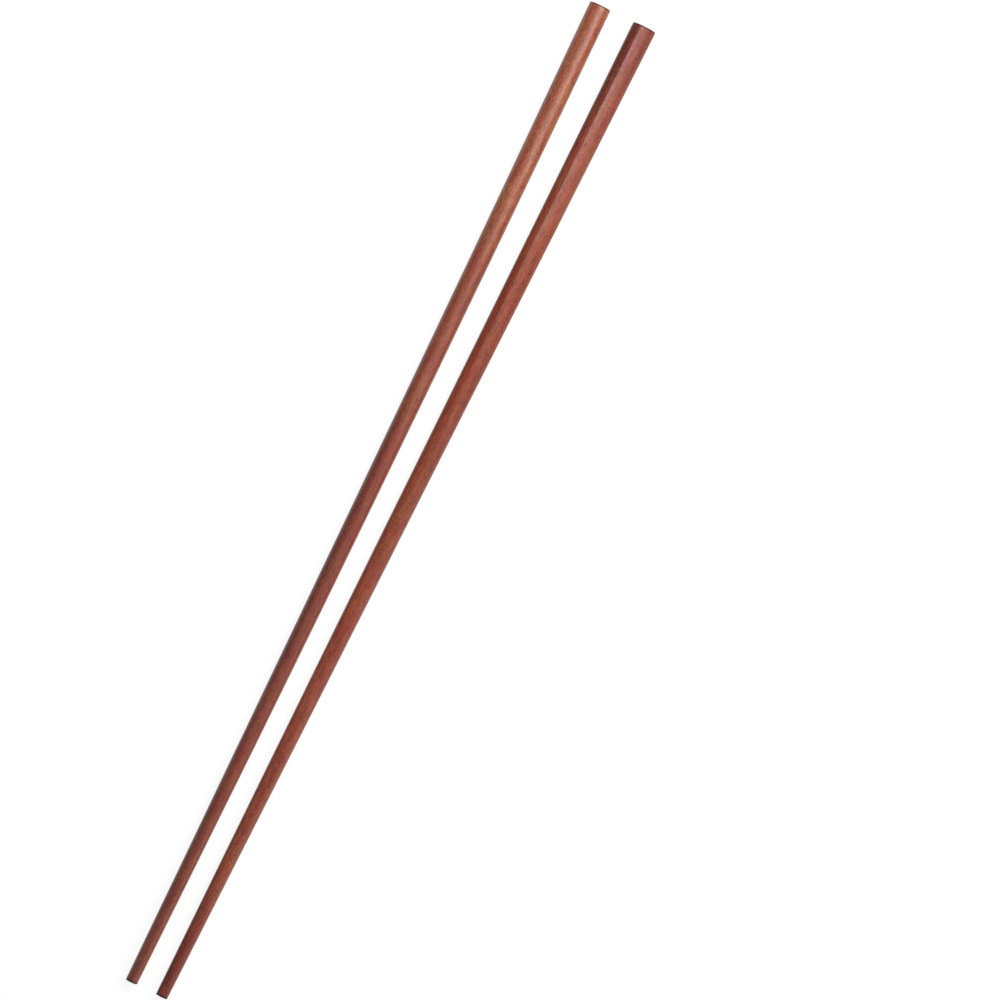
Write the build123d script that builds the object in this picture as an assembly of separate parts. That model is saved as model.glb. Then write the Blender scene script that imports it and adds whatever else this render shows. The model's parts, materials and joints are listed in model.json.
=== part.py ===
from build123d import *

import math
import os

# A pair of long round cooking chopsticks, lying side by side as they come to rest on a table.
#
# Each stick is one turned piece of hardwood. A slow taper runs from the butt to a knee about two thirds of
# the way down, a quicker one runs from the knee to the tip, and both ends are flat with an eased edge.
#
# Frame: millimetres, +Z up, table at Z = 0, +X from the tips to the butts, origin under the pair's middle.

# Driving dimensions that both sticks share
LENGTH = 420.0
KNEE_DIAMETER = 6.8  # where the two tapers would meet
TIP_DIAMETER = 4.8
TIP_TAPER_LENGTH = 135.0  # from the tip up to the knee
KNEE_BLEND_LENGTH = 80.0  # stretch over which one taper runs smoothly into the other
BUTT_ROUNDING = 0.5  # radius of the eased edge round the butt's face
TIP_ROUNDING = 0.4  # radius of the eased edge round the tip's face

# The sticks are finished by hand, and the right one came out thicker at the butt
LEFT_BUTT_DIAMETER = 8.7
RIGHT_BUTT_DIAMETER = 9.6

# Driving dimensions of the pair: the clear gap between the sticks
BUTT_GAP = 9.9
TIP_GAP = 8.2

# The gap lies off the origin, so that the outer sides of the unlike butts stand evenly about it
GAP_MIDDLE = (RIGHT_BUTT_DIAMETER - LEFT_BUTT_DIAMETER) / 2

# Each stick's side of the gap, seen from above with the butts pointing away (+1 is +Y), and its butt
STICKS = {
    "left_chopstick": {"side": 1, "butt_diameter": LEFT_BUTT_DIAMETER},
    "right_chopstick": {"side": -1, "butt_diameter": RIGHT_BUTT_DIAMETER},
}


def half_section(butt_diameter):
    """Half of a stick's lengthwise section: the axis along X, the tip at X = 0, the skin on the +Y side."""
    tip_edge = Vector(0, TIP_DIAMETER / 2)
    knee = Vector(TIP_TAPER_LENGTH, KNEE_DIAMETER / 2)
    butt_edge = Vector(LENGTH, butt_diameter / 2)
    blend_start = knee + (tip_edge - knee).normalized() * (KNEE_BLEND_LENGTH / 2)
    blend_end = knee + (butt_edge - knee).normalized() * (KNEE_BLEND_LENGTH / 2)

    outline = Polyline((0, 0), tip_edge, blend_start)
    outline += Bezier(blend_start, knee, blend_end)
    outline += Polyline(blend_end, butt_edge, (LENGTH, 0), (0, 0))
    section = make_face(outline)

    section = fillet(section.vertices().sort_by_distance(tip_edge)[0], TIP_ROUNDING)
    return fillet(section.vertices().sort_by_distance(butt_edge)[0], BUTT_ROUNDING)


def chopstick(butt_diameter):
    """One stick along X, with the middle of its tip's face at the origin."""
    return revolve(half_section(butt_diameter), Axis.X)


def resting_place(side, butt_diameter):
    """Where a stick lies: along the underside of its slow taper, turned so that the tips draw together."""
    rise = math.atan2((butt_diameter - KNEE_DIAMETER) / 2, LENGTH - TIP_TAPER_LENGTH)
    slow_taper_radius_at_tip = butt_diameter / 2 - LENGTH * math.tan(rise)

    butt_offset = (BUTT_GAP + butt_diameter) / 2
    tip_offset = (TIP_GAP + TIP_DIAMETER) / 2
    turn = math.asin((butt_offset - tip_offset) / LENGTH)

    tip_height = slow_taper_radius_at_tip * math.cos(rise)
    tip_centre = Pos(-LENGTH / 2, GAP_MIDDLE + side * tip_offset, tip_height)
    return tip_centre * Rot(Z=math.degrees(side * turn)) * Rot(Y=-math.degrees(rise))


os.makedirs("parts", exist_ok=True)
for name, stick in STICKS.items():
    solid = resting_place(**stick) * chopstick(stick["butt_diameter"])
    export_step(solid, f"parts/{name}.step")
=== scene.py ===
import json
import math

import bpy
import numpy as np
from mathutils import Matrix, Quaternion, Vector


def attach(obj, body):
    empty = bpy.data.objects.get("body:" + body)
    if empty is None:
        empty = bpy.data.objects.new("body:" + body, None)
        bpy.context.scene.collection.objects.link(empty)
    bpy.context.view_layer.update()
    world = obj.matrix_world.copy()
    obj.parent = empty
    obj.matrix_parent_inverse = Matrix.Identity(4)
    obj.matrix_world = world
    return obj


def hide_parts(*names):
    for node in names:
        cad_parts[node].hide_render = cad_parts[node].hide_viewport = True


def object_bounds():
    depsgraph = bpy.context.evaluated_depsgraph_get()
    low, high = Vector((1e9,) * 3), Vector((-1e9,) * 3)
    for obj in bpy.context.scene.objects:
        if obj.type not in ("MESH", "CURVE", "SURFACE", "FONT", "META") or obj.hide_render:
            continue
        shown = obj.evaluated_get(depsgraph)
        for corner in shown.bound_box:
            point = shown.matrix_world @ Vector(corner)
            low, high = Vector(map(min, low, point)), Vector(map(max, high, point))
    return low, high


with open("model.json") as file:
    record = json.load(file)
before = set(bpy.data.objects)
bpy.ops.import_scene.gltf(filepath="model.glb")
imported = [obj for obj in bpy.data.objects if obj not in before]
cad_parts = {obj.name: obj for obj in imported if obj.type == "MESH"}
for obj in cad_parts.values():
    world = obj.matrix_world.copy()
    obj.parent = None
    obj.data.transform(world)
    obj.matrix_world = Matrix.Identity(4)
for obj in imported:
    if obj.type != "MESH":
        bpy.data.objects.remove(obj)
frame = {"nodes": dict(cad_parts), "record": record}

cad_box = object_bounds()

# The photograph's frame, and where the axes of the pair end in it, midway between the two sticks
FRAME_PIXELS = 1000
BUTTS_PIXEL = Vector((622.4, 16.9))
TIPS_PIXEL = Vector((146.2, 989.5))
CAMERA_HEIGHT = 2.0
SENSOR_WIDTH = 36.0

# How a stick is read from the frame: the depth of its flat ends, and where its tip is past its rounding
END_FACE_DEPTH = 0.00001
PAST_TIP_ROUNDING = 0.002

# The lathe that turns each stick
SEGMENTS = 96
RING_SPACING = 0.0014
ROUNDING_STEPS = 7
FACE_RINGS = 6

# Hand finish: waves that run round and along the stick, as the share of its radius that they take off
FINISH_WAVES = (
    {"round": 2, "along": 0.130, "depth": 0.006},
    {"round": 3, "along": -0.052, "depth": 0.003},
    {"round": 1, "along": 0.310, "depth": 0.004},
)

# The map that the wood is baked through: the skin in rows, and the end faces in a column beside them
BAKE_MAP = "OFBake"
MAP_ROWS = 4
MAP_MARGIN = 0.006
MAP_SKIN_WIDTH = 0.885
MAP_FACE_RADIUS = 0.046
MAP_TIP_HEIGHT = 0.25
MAP_BUTT_HEIGHT = 0.75

MILLIMETRES = 1000.0

# The mesh attribute that the wood is laid by: mm from the tip, then to the left of the axis and above it
STICK_PLACE = "stick_place"

# Each stick's own shape and wood. Shares of the length count from the tip, and lengths are in mm.
# bow: how far its middle has warped to the left
# painted_side_light: painted light and shade, how much paler the wood grows per mm to the right, at two
# shares of the length; the steps add up
# pith: how far to the left and up of the axis the middle of the tree lay
# heart: a darker layer, the way it lies from the axis, left and up, and how far from the axis it starts
# heart_dark_and_shade, painted_sheen: the heart's darkening, near the right butt also painted shade, and
# the painted sheen streak beside it, each fading out between two distances from the butt
# flecks: they come in between two shares of the length
# roughness: of its surface, towards the tip and towards the butt
# gloss: the strength of its sheen
STICKS = {
    "left_chopstick": {
        "butt_mount": "left_butt_end",
        "seed": 1.7,
        "bow": -0.72,
        "colours": (
            (0.00, (0.268, 0.056, 0.029)),
            (0.40, (0.240, 0.043, 0.022)),
            (0.53, (0.240, 0.043, 0.022)),
            (0.59, (0.290, 0.064, 0.031)),
            (0.72, (0.298, 0.066, 0.031)),
            (0.80, (0.354, 0.093, 0.040)),
            (1.00, (0.340, 0.088, 0.038)),
        ),
        "painted_side_light": (
            {"shares": (0.45, 0.75), "per_mm": (0.065, 0.0)},
        ),
        "pith": (-16.0, -26.0),
        "heart": {"towards": (-0.3, -0.95), "start": 2.6},
        "heart_dark_and_shade": {"strength": 0.55, "fade": (120.0, 260.0)},
        "painted_sheen": {"strength": 0.15, "fade": (60.0, 160.0)},
        "flecks": {"strength": 0.50, "shares": (0.72, 0.84)},
        "roughness": (0.38, 0.38),
        "gloss": 0.72,
    },
    "right_chopstick": {
        "butt_mount": "right_butt_end",
        "seed": 6.3,
        "bow": 0.0,
        "colours": (
            (0.00, (0.225, 0.040, 0.025)),
            (0.05, (0.250, 0.045, 0.028)),
            (0.12, (0.345, 0.073, 0.038)),
            (0.50, (0.312, 0.067, 0.035)),
            (0.60, (0.302, 0.060, 0.029)),
            (0.75, (0.300, 0.051, 0.018)),
            (0.82, (0.304, 0.066, 0.029)),
            (0.92, (0.266, 0.050, 0.025)),
            (1.00, (0.226, 0.036, 0.021)),
        ),
        "painted_side_light": (
            {"shares": (0.05, 0.35), "per_mm": (0.06, -0.018)},
            {"shares": (0.60, 0.80), "per_mm": (0.0, 0.023)},
        ),
        "pith": (21.0, -18.0),
        "heart": {"towards": (1.0, 0.0), "start": 1.35},
        "heart_dark_and_shade": {"strength": 0.45, "fade": (10.0, 60.0)},
        "painted_sheen": {"strength": 0.86, "fade": (20.0, 180.0)},
        "flecks": {"strength": 0.25, "shares": (0.78, 0.90)},
        "roughness": (0.36, 0.50),
        "gloss": 0.48,
    },
}

# How the grain, and the painted light and shade across the stick, change a stick's colour, from dark to
# pale; a tone of 0.5 leaves it as it is
PLAIN_TONE = 0.5
TONE_STOPS = (
    (0.0, (0.28, 0.22, 0.30)),
    (0.3, (0.64, 0.56, 0.62)),
    (0.5, (1.00, 1.00, 1.00)),
    (0.7, (1.30, 1.38, 1.36)),
    (1.0, (1.75, 1.95, 1.90)),
)

# Noise in the wood: the length, width and height of its blots in mm, and how far it moves the tone
NOISE_MIDDLE = 0.5
NOISE_ROUGHNESS = 0.55
NOISE_DETAIL = 2.0
GRAIN = {
    "streak": {"size": (190.0, 1.8, 1.8), "sway": 0.24},
    "mottle": {"size": (9.0, 2.0, 2.0), "sway": 0.40},
    "dapple": {"size": (3.0, 0.9, 0.9), "sway": 0.45},
    "grit": {"size": (1.0, 0.42, 0.42), "sway": 0.80},
    "fibre": {"size": (11.0, 0.45, 0.45), "sway": 0.22},
    "hair": {"size": (5.0, 0.16, 0.16), "sway": 0.22},
}
GROWTH_RINGS = {"spacing": 1.3, "sway": 0.10, "wander_size": (120.0, 6.0, 6.0), "wander_years": 2.5}

# Patches that lean to red or to brown
PATCH_SIZE = (13.0, 3.2, 3.2)
PATCH_STOPS = (
    (0.35, (1.02, 0.84, 0.88)),
    (0.65, (0.98, 1.14, 0.98)),
)

# The heart's ragged edge and its colour, which near the right stick's butt is also painted shade, and the
# pale streak beside it, which is painted sheen
HEART_AND_SHADE_COLOUR = (0.085, 0.014, 0.012, 1.0)
HEART_EDGE = {"size": (30.0, 0.9, 0.9), "sway": 0.6, "softness": 0.20}
PAINTED_SHEEN_COLOUR = (0.430, 0.204, 0.188, 1.0)
PAINTED_SHEEN_WIDTH = 2.1

# Shares of the length between which a stick's roughness changes
ROUGHNESS_SHARES = (0.55, 0.75)

# Pores are short dark dashes along the grain, flecks short pale ones; each shows where its noise is high
DASH_DETAIL = 1.0
PORE = {"size": (2.2, 0.28, 0.28), "noise": (0.60, 0.72), "strength": 0.42, "roughness": 0.15}
PORE_COLOUR = (0.030, 0.008, 0.006, 1.0)
FLECK = {"size": (1.5, 0.42, 0.42), "noise": (0.57, 0.70)}
FLECK_COLOUR = (0.520, 0.230, 0.120, 1.0)
FIBRE_HEIGHT = 0.4
BUMP = {"Strength": 0.3, "Distance": 0.00004}

# End grain soaks up more oil, so over this depth in mm it is darker and duller, and shows growth rings;
# the darkening at the rounded ends is partly painted shade
END_GRAIN_AND_SHADE = {"tip_depth": (0.40, 1.25), "butt_depth": (0.15, 0.85), "roughness": 0.25}
END_RING_STOPS = (
    (0.15, (0.17, 0.13, 0.15)),
    (0.90, (0.34, 0.30, 0.30)),
)

# Where each lamp stands, its roll in degrees and its sides in metres; it faces the table's middle line
LAMPS = {
    "key": {"place": (0.48, -0.18, 0.70), "roll": -18, "size": (0.20, 0.90), "radiance": 13.5},
    "sky": {"place": (-0.05, 0.15, 1.10), "roll": 0, "size": (2.60, 2.00), "radiance": 0.30},
    "side": {"place": (-0.50, -1.00, 0.45), "roll": 0, "size": (1.40, 0.80), "radiance": 1.08},
    "far": {"place": (-0.75, 1.00, 0.45), "roll": 0, "size": (1.40, 0.80), "radiance": 0.34},
}
WORLD_LIGHT = 0.03
FLOOR_REACH = 6.0
FLOOR_COLOUR = (0.24, 0.24, 0.24, 1.0)
FLOOR_GLOW = 0.85


class CadStick:
    """One stick as the frame holds it: where it lies and how thick it is along its length."""

    def __init__(self, node_name, butt_mount):
        mount = next(m for m in frame["record"]["mounts"] if m["name"] == butt_mount)
        points = np.array([v.co for v in frame["nodes"][node_name].data.vertices])
        butt = np.array(mount["pos_m"])
        self.along = np.array(mount["axis"])
        self.left = np.cross((0, 0, 1), self.along)
        self.left /= np.linalg.norm(self.left)
        self.up = np.cross(self.along, self.left)

        from_butt = (points - butt) @ self.along
        self.length = -from_butt.min()
        self.tip = butt - self.length * self.along
        distance = from_butt + self.length
        radius = np.linalg.norm(points - self.tip - distance[:, None] * self.along, axis=1)

        tip_face = radius[distance < END_FACE_DEPTH].max()
        butt_face = radius[distance > self.length - END_FACE_DEPTH].max()
        order = np.argsort(distance)
        skin = radius[order] > np.maximum.accumulate(radius[order]) - END_FACE_DEPTH
        self.skin_distance = distance[order][skin]
        self.skin_radius = radius[order][skin]
        self.tip_rounding = self.radius_at(PAST_TIP_ROUNDING) - tip_face
        self.butt_rounding = self.skin_radius.max() - butt_face

    def radius_at(self, distance):
        return np.interp(distance, self.skin_distance, self.skin_radius)


def turning_outline(stick):
    """Distance from the tip and radius of each ring, from inside the tip's face to inside the butt's."""
    turn = np.linspace(0, math.pi / 2, ROUNDING_STEPS + 1)
    shares = np.arange(1, FACE_RINGS) / FACE_RINGS

    tip_flat = stick.radius_at(stick.tip_rounding) - stick.tip_rounding
    skin_end = stick.length - stick.butt_rounding
    butt_flat = stick.radius_at(skin_end) - stick.butt_rounding
    count = round((skin_end - stick.tip_rounding) / RING_SPACING)
    skin = np.linspace(stick.tip_rounding, skin_end, count + 1)[1:-1]

    distance = np.concatenate([
        np.zeros(len(shares)),
        stick.tip_rounding * (1 - np.cos(turn)),
        skin,
        skin_end + stick.butt_rounding * np.sin(turn),
        np.full(len(shares), stick.length),
    ])
    radius = np.concatenate([
        tip_flat * shares,
        tip_flat + stick.tip_rounding * np.sin(turn),
        stick.radius_at(skin),
        butt_flat + stick.butt_rounding * np.cos(turn),
        butt_flat * shares[::-1],
    ])
    return distance, radius


def hand_finish(distance, angle, seed):
    """The share of the radius that the finishing has left at each point, a little under 1."""
    taken = np.zeros(np.broadcast(distance, angle).shape)
    for number, wave in enumerate(FINISH_WAVES):
        phase = wave["round"] * angle + 2 * math.pi * distance / wave["along"] + seed * (number + 1)
        taken = taken + wave["depth"] * (1 + np.sin(phase)) / 2
    return 1 - taken


def skin_map(distance, first, last):
    """Bake map of the skin's quads, ring by ring: rows of rings, with the seam along the underside."""
    breaks = np.linspace(first, last, MAP_ROWS + 1).astype(int)
    longest = max(distance[end] - distance[start] for start, end in zip(breaks, breaks[1:]))
    spoke = np.arange(SEGMENTS)
    corners = []
    for ring in range(first, last):
        row = np.searchsorted(breaks, ring, side="right") - 1
        run = (distance[[ring, ring, ring + 1, ring + 1]] - distance[breaks[row]]) / longest
        turn = (spoke[:, None] + [0, 1, 1, 0]) / SEGMENTS
        u = np.broadcast_to(MAP_MARGIN + MAP_SKIN_WIDTH * run, turn.shape)
        v = (row + MAP_MARGIN * MAP_ROWS + (1 - 2 * MAP_MARGIN * MAP_ROWS) * turn) / MAP_ROWS
        corners.append(np.stack([u, v], axis=-1).reshape(-1, 2))
    return np.concatenate(corners)


def face_map(radius_shares, angles, height):
    """Bake map of corners on an end face, as a disc in the column beside the skin."""
    middle = 1 - MAP_MARGIN - MAP_FACE_RADIUS
    u = middle + MAP_FACE_RADIUS * radius_shares * np.sin(angles)
    v = height + MAP_FACE_RADIUS * radius_shares * np.cos(angles)
    return np.stack([u, v], axis=-1).reshape(-1, 2)


def turned_stick(name, stick, bow, seed):
    """The fine mesh of a stick, in the row frame."""
    distance, radius = turning_outline(stick)
    angle = np.arange(SEGMENTS) * 2 * math.pi / SEGMENTS
    left = radius[:, None] * np.sin(angle) * hand_finish(distance[:, None], angle, seed)
    up = -radius[:, None] * np.cos(angle) * hand_finish(distance[:, None], angle, seed)
    along = np.broadcast_to(distance[:, None], left.shape)
    rings = np.stack([along, left, up], axis=-1).reshape(-1, 3)
    place = np.concatenate([rings, [(0, 0, 0), (stick.length, 0, 0)]])
    share = place[:, :1] / stick.length
    # A parabola: nothing at the two ends, and the whole bow at the middle
    warp = 4 * bow / MILLIMETRES * share * (1 - share) * stick.left
    points = stick.tip + place @ np.stack([stick.along, stick.left, stick.up]) + warp

    ring_count = len(distance)
    first_skin, last_skin = FACE_RINGS - 1, ring_count - FACE_RINGS
    tip_centre, butt_centre = len(rings), len(rings) + 1
    spoke = np.arange(SEGMENTS)
    following = (spoke + 1) % SEGMENTS
    faces = []
    corners = []
    for ring in range(ring_count - 1):
        here, beyond = ring * SEGMENTS, (ring + 1) * SEGMENTS
        quads = [here + spoke, here + following, beyond + following, beyond + spoke]
        faces += np.stack(quads, axis=-1).tolist()
    faces += [(tip_centre, j, i) for i, j in zip(spoke.tolist(), following.tolist())]
    last = (ring_count - 1) * SEGMENTS
    faces += [(butt_centre, last + i, last + j) for i, j in zip(spoke.tolist(), following.tolist())]

    def face_quads(ring, outer_radius, height):
        shares = radius[[ring, ring, ring + 1, ring + 1]] / outer_radius
        angles = angle[:, None] + np.array([0, 1, 1, 0]) * angle[1]
        return face_map(np.broadcast_to(shares, angles.shape), angles, height)

    def face_fan(share, order, height):
        shares = np.broadcast_to([0, share, share], (SEGMENTS, 3))
        angles = angle[:, None] + np.array(order) * angle[1]
        return face_map(shares, angles, height)

    for ring in range(first_skin):
        corners.append(face_quads(ring, radius[first_skin], MAP_TIP_HEIGHT))
    corners.append(skin_map(distance, first_skin, last_skin))
    for ring in range(last_skin, ring_count - 1):
        corners.append(face_quads(ring, radius[last_skin], MAP_BUTT_HEIGHT))
    corners.append(face_fan(radius[0] / radius[first_skin], (0, 1, 0), MAP_TIP_HEIGHT))
    corners.append(face_fan(radius[-1] / radius[last_skin], (0, 0, 1), MAP_BUTT_HEIGHT))

    mesh = bpy.data.meshes.new(name)
    mesh.from_pydata(points.tolist(), [], faces)
    mesh.shade_smooth()
    attribute = mesh.attributes.new(STICK_PLACE, "FLOAT_VECTOR", "POINT")
    attribute.data.foreach_set("vector", (place * MILLIMETRES).astype(np.float32).ravel())
    layer = mesh.uv_layers.new(name=BAKE_MAP)
    layer.uv.foreach_set("vector", np.concatenate(corners).astype(np.float32).ravel())
    piece = bpy.data.objects.new(name, mesh)
    bpy.context.scene.collection.objects.link(piece)
    return piece


class Graph:
    """A node tree, with short ways to add the nodes that the materials need."""

    def __init__(self, tree):
        tree.nodes.clear()
        self.nodes = tree.nodes
        self.links = tree.links

    def node(self, kind, inputs, **settings):
        """A new node. Each input is a plain value or the output that feeds it."""
        made = self.nodes.new("ShaderNode" + kind)
        for setting, value in settings.items():
            setattr(made, setting, value)
        for key, value in inputs.items():
            if isinstance(value, bpy.types.NodeSocket):
                self.links.new(value, made.inputs[key])
            else:
                made.inputs[key].default_value = value
        return made

    def math(self, operation, first, second=0.0, third=0.0):
        inputs = {0: first, 1: second, 2: third}
        return self.node("Math", inputs, operation=operation).outputs[0]

    def vector(self, operation, first, second, third=(0, 0, 0)):
        inputs = {0: first, 1: second, 2: third}
        return self.node("VectorMath", inputs, operation=operation)

    def between(self, value, low, high, start=0.0, end=1.0):
        """Runs smoothly from start, where value is low, to end, where it is high."""
        inputs = {"Value": value, "From Min": low, "From Max": high, "To Min": start, "To Max": end}
        return self.node("MapRange", inputs, interpolation_type="SMOOTHSTEP").outputs[0]

    def noise(self, place, size, seed, detail=NOISE_DETAIL):
        """Noise with blots of the given length, width and height."""
        stretched = self.vector("MULTIPLY_ADD", place, [1 / s for s in size], (seed, 2 * seed, 3 * seed))
        inputs = {
            "Vector": stretched.outputs[0],
            "Scale": 1.0,
            "Detail": detail,
            "Roughness": NOISE_ROUGHNESS,
        }
        return self.node("TexNoise", inputs).outputs["Fac"]

    def sway(self, base, noise, amount):
        """Base, moved up or down as the noise stands above or below its middle."""
        return self.math("MULTIPLY_ADD", self.math("SUBTRACT", noise, NOISE_MIDDLE), amount, base)

    def ramp(self, value, stops):
        made = self.node("ValToRGB", {"Fac": value})
        elements = made.color_ramp.elements
        while len(elements) < len(stops):
            elements.new(1.0)
        for element, (position, colour) in zip(elements, stops):
            element.position = position
            element.color = (*colour, 1.0)
        return made.outputs["Color"]

    def mix(self, factor, first, second, how="MIX"):
        """Two colours mixed. The node's colours are its inputs 6 and 7, and its output 2."""
        made = self.node("Mix", {0: factor, 6: first, 7: second}, data_type="RGBA", blend_type=how)
        return made.outputs[2]


def growth_rings(graph, place, pith, seed):
    """Runs from 0 to 1 across each year's ring, about a pith that lies outside the stick."""
    from_pith = graph.vector("MULTIPLY_ADD", place, (0, 1, 1), (0, -pith[0], -pith[1]))
    distance = graph.vector("LENGTH", from_pith.outputs[0], (0, 0, 0)).outputs["Value"]
    wander = graph.noise(place, GROWTH_RINGS["wander_size"], seed)
    plain_years = graph.math("DIVIDE", distance, GROWTH_RINGS["spacing"])
    years = graph.math("MULTIPLY_ADD", wander, GROWTH_RINGS["wander_years"], plain_years)
    return graph.math("PINGPONG", years, 1.0)


def grain_and_side_light_tone(graph, place, facts, share, rings):
    """How the grain darkens or lightens the wood, with painted light and shade across the stick, and the
    noise of its fibres.
    """
    left = graph.node("SeparateXYZ", {0: place}).outputs["Y"]
    tone = PLAIN_TONE
    # Painted light and shade: the wood is made paler towards one side of the stick
    for step in facts["painted_side_light"]:
        painted_side_light = graph.between(share, *step["shares"], *step["per_mm"])
        tone = graph.math("SUBTRACT", tone, graph.math("MULTIPLY", painted_side_light, left))
    layers = {}
    for number, (layer, grain) in enumerate(GRAIN.items()):
        layers[layer] = graph.noise(place, grain["size"], facts["seed"] + number)
        tone = graph.sway(tone, layers[layer], grain["sway"])
    return graph.sway(tone, rings, GROWTH_RINGS["sway"]), layers["fibre"]


def add_heart_shade_and_sheen(graph, colour, place, facts, length, seed):
    """The colour with the darker heart, partly painted shade, and a light streak of painted sheen beside
    it laid in.
    """
    heart = facts["heart"]
    towards = graph.vector("DOT_PRODUCT", place, (0, *heart["towards"])).outputs["Value"]
    ragged = graph.sway(towards, graph.noise(place, HEART_EDGE["size"], seed), HEART_EDGE["sway"])
    from_butt = graph.math("SUBTRACT", length, graph.node("SeparateXYZ", {0: place}).outputs["X"])
    painted_sheen_share = graph.between(from_butt, *facts["painted_sheen"]["fade"], facts["painted_sheen"]["strength"], 0.0)
    heart_and_shade_share = graph.between(from_butt, *facts["heart_dark_and_shade"]["fade"], facts["heart_dark_and_shade"]["strength"], 0.0)

    # A pale streak beside the heart's edge: painted sheen
    streak = graph.between(ragged, heart["start"] - PAINTED_SHEEN_WIDTH, heart["start"])
    beside = graph.mix(graph.math("MULTIPLY", streak, painted_sheen_share), colour, PAINTED_SHEEN_COLOUR)
    # The heart's darkening: a darker layer of the wood, which near the right stick's butt is also painted
    # shade
    inside = graph.mix(heart_and_shade_share, colour, HEART_AND_SHADE_COLOUR)
    softness = HEART_EDGE["softness"]
    edge = graph.between(ragged, heart["start"] - softness, heart["start"] + softness)
    return graph.mix(edge, beside, inside)


def wood_material(name, facts, length):
    """Oiled red hardwood, cut along the grain, with growth rings, fibres, pores and darker end grain, and
    painted light and shade: a paler side, a painted sheen streak, and shade in the heart and at the ends.
    """
    material = bpy.data.materials.new(name)
    material.use_nodes = True
    graph = Graph(material.node_tree)
    place = graph.node("Attribute", {}, attribute_name=STICK_PLACE).outputs["Vector"]
    along = graph.node("SeparateXYZ", {0: place}).outputs["X"]
    share = graph.math("DIVIDE", along, length)
    first_seed = facts["seed"] + len(GRAIN)
    ring_seed, patch_seed, heart_seed, pore_seed, fleck_seed = (first_seed + step for step in range(5))

    colour = graph.ramp(share, facts["colours"])
    colour = add_heart_shade_and_sheen(graph, colour, place, facts, length, heart_seed)
    rings = growth_rings(graph, place, facts["pith"], ring_seed)
    tone, fibre = grain_and_side_light_tone(graph, place, facts, share, rings)
    colour = graph.mix(1.0, colour, graph.ramp(tone, TONE_STOPS), "MULTIPLY")
    tint = graph.ramp(graph.noise(place, PATCH_SIZE, patch_seed), PATCH_STOPS)
    colour = graph.mix(1.0, colour, tint, "MULTIPLY")

    pore = graph.between(graph.noise(place, PORE["size"], pore_seed, DASH_DETAIL), *PORE["noise"])
    colour = graph.mix(graph.math("MULTIPLY", pore, PORE["strength"]), colour, PORE_COLOUR)
    fleck = graph.between(graph.noise(place, FLECK["size"], fleck_seed, DASH_DETAIL), *FLECK["noise"])
    fleck_strength = graph.between(share, *facts["flecks"]["shares"], 0.0, facts["flecks"]["strength"])
    colour = graph.mix(graph.math("MULTIPLY", fleck, fleck_strength), colour, FLECK_COLOUR)
    # Darker, duller end grain at both ends, partly painted shade
    tip_grain_and_shade = graph.between(along, *END_GRAIN_AND_SHADE["tip_depth"], 1.0, 0.0)
    butt_grain_and_shade = graph.between(graph.math("SUBTRACT", length, along), *END_GRAIN_AND_SHADE["butt_depth"], 1.0, 0.0)
    end_grain_and_shade = graph.math("MAXIMUM", tip_grain_and_shade, butt_grain_and_shade)
    colour = graph.mix(end_grain_and_shade, colour, graph.ramp(rings, END_RING_STOPS), "MULTIPLY")

    rough = graph.between(share, *ROUGHNESS_SHARES, *facts["roughness"])
    rough = graph.math("MULTIPLY_ADD", pore, PORE["roughness"], rough)
    rough = graph.math("MULTIPLY_ADD", end_grain_and_shade, END_GRAIN_AND_SHADE["roughness"], rough)
    height = graph.math("SUBTRACT", graph.math("MULTIPLY", fibre, FIBRE_HEIGHT), pore)
    bump = graph.node("Bump", {"Height": height, **BUMP})
    shader = graph.node("BsdfPrincipled", {
        "Base Color": colour,
        "Roughness": rough,
        "Specular IOR Level": facts["gloss"],
        "Normal": bump.outputs["Normal"],
    })
    graph.node("OutputMaterial", {"Surface": shader.outputs[0]})
    return material


def add_sticks():
    for node_name, facts in STICKS.items():
        stick = CadStick(node_name, facts["butt_mount"])
        piece = turned_stick(node_name + "_turned", stick, facts["bow"], facts["seed"])
        wood = wood_material(node_name + "_wood", facts, stick.length * MILLIMETRES)
        piece.data.materials.append(wood)
        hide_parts(node_name)
        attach(piece, "root")


def add_camera():
    """Looks straight down, turned and placed so that the pair's ends fall on the photograph's pixels."""
    ends = [CadStick(node_name, facts["butt_mount"]) for node_name, facts in STICKS.items()]
    tips = Vector(np.mean([s.tip for s in ends], axis=0))
    butts = Vector(np.mean([s.tip + s.length * s.along for s in ends], axis=0))
    in_picture = Vector((BUTTS_PIXEL.x - TIPS_PIXEL.x, TIPS_PIXEL.y - BUTTS_PIXEL.y))
    on_table = Vector((butts.x - tips.x, butts.y - tips.y))
    pixels_per_metre = in_picture.length / on_table.length
    roll = math.atan2(on_table.y, on_table.x) - math.atan2(in_picture.y, in_picture.x)
    right = Vector((math.cos(roll), math.sin(roll), 0))
    up = Vector((-math.sin(roll), math.cos(roll), 0))
    middle = FRAME_PIXELS / 2
    butts_offset = (right * (BUTTS_PIXEL.x - middle) + up * (middle - BUTTS_PIXEL.y)) / pixels_per_metre

    data = bpy.data.cameras.new("camera")
    data.sensor_width = SENSOR_WIDTH
    data.lens = pixels_per_metre * CAMERA_HEIGHT * SENSOR_WIDTH / FRAME_PIXELS
    camera = bpy.data.objects.new("camera", data)
    rotation = Matrix((right, up, right.cross(up))).transposed().to_4x4()
    axis_height = (tips.z + butts.z) / 2
    aim = butts - butts_offset
    camera.matrix_world = Matrix.Translation((aim.x, aim.y, axis_height + CAMERA_HEIGHT)) @ rotation
    bpy.context.scene.collection.objects.link(camera)
    bpy.context.scene.camera = camera


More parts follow.
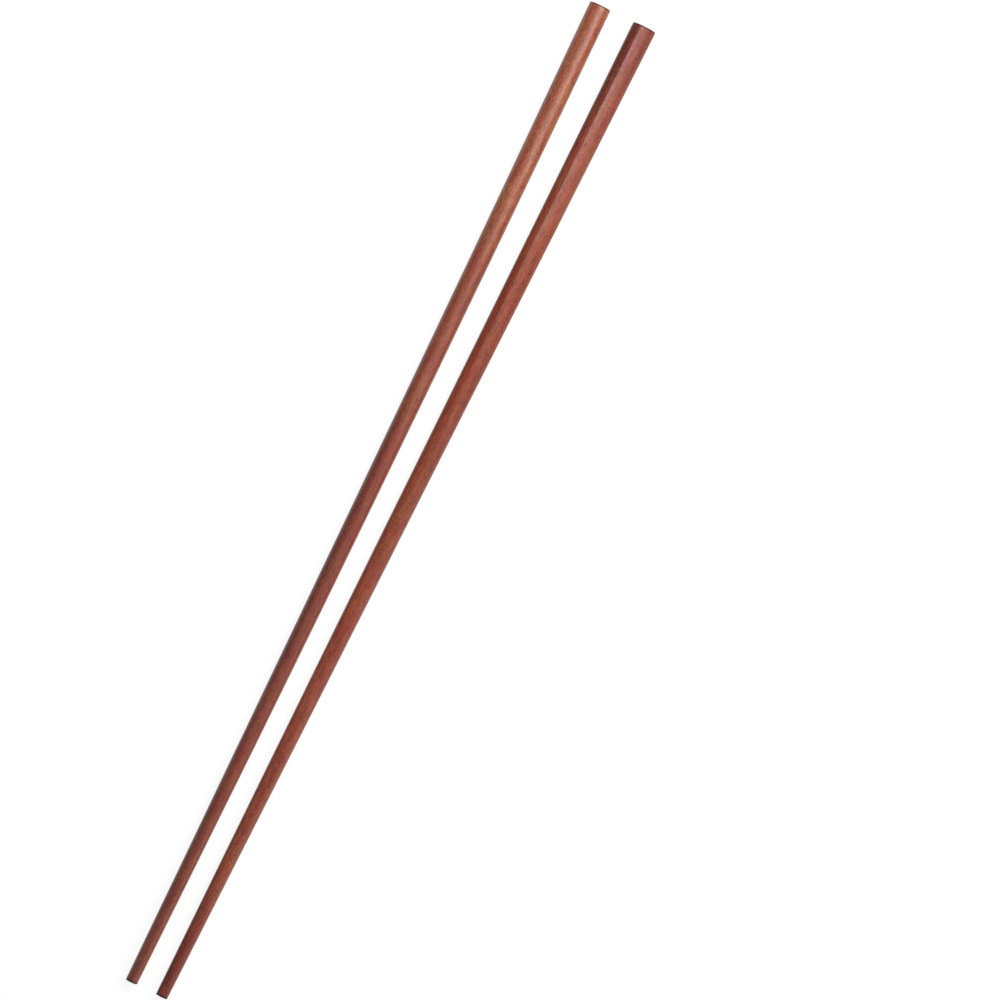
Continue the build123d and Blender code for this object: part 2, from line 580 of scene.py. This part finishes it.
def add_lamps():
    """Soft rectangular lamps, which light the sticks but don't show in the picture themselves."""
    for name, lamp in LAMPS.items():
        data = bpy.data.lights.new(name, "AREA")
        data.shape = "RECTANGLE"
        data.size, data.size_y = lamp["size"]
        data.energy = lamp["radiance"] * math.pi * data.size * data.size_y
        piece = bpy.data.objects.new(name, data)
        place = Vector(lamp["place"])
        facing = (Vector((place.x, 0, 0)) - place).to_track_quat("-Z", "Y")
        rolled = facing @ Quaternion((0, 0, 1), math.radians(lamp["roll"]))
        piece.location = place
        piece.rotation_euler = rolled.to_euler()
        piece.visible_camera = False
        bpy.context.scene.collection.objects.link(piece)


def add_floor():
    """A white sheet that keeps the soft shadow of the sticks."""
    mesh = bpy.data.meshes.new("floor")
    around = ((-1, -1), (1, -1), (1, 1), (-1, 1))
    corners = [(FLOOR_REACH * x, FLOOR_REACH * y, cad_box[0].z) for x, y in around]
    mesh.from_pydata(corners, [], [(0, 1, 2, 3)])
    floor = bpy.data.objects.new("floor", mesh)
    material = bpy.data.materials.new("floor")
    material.use_nodes = True
    graph = Graph(material.node_tree)
    path = graph.node("LightPath", {}).outputs
    seen = graph.math("MAXIMUM", path["Is Camera Ray"], path["Is Glossy Ray"])
    seen = graph.math("MAXIMUM", seen, path["Is Transmission Ray"])
    paper = graph.node("BsdfDiffuse", {"Color": FLOOR_COLOUR})
    glow = graph.node("Emission", {"Strength": graph.math("MULTIPLY", seen, FLOOR_GLOW)})
    both = graph.node("AddShader", {0: paper.outputs[0], 1: glow.outputs[0]})
    graph.node("OutputMaterial", {"Surface": both.outputs[0]})
    mesh.materials.append(material)
    bpy.context.scene.collection.objects.link(floor)


def add_world():
    world = bpy.data.worlds.new("studio")
    world.use_nodes = True
    graph = Graph(world.node_tree)
    background = graph.node("Background", {"Color": (1, 1, 1, 1), "Strength": WORLD_LIGHT})
    graph.node("OutputWorld", {"Surface": background.outputs[0]})
    bpy.context.scene.world = world


add_sticks()
add_floor()
add_camera()
add_lamps()
add_world()
bpy.context.scene.view_settings.view_transform = "Standard"
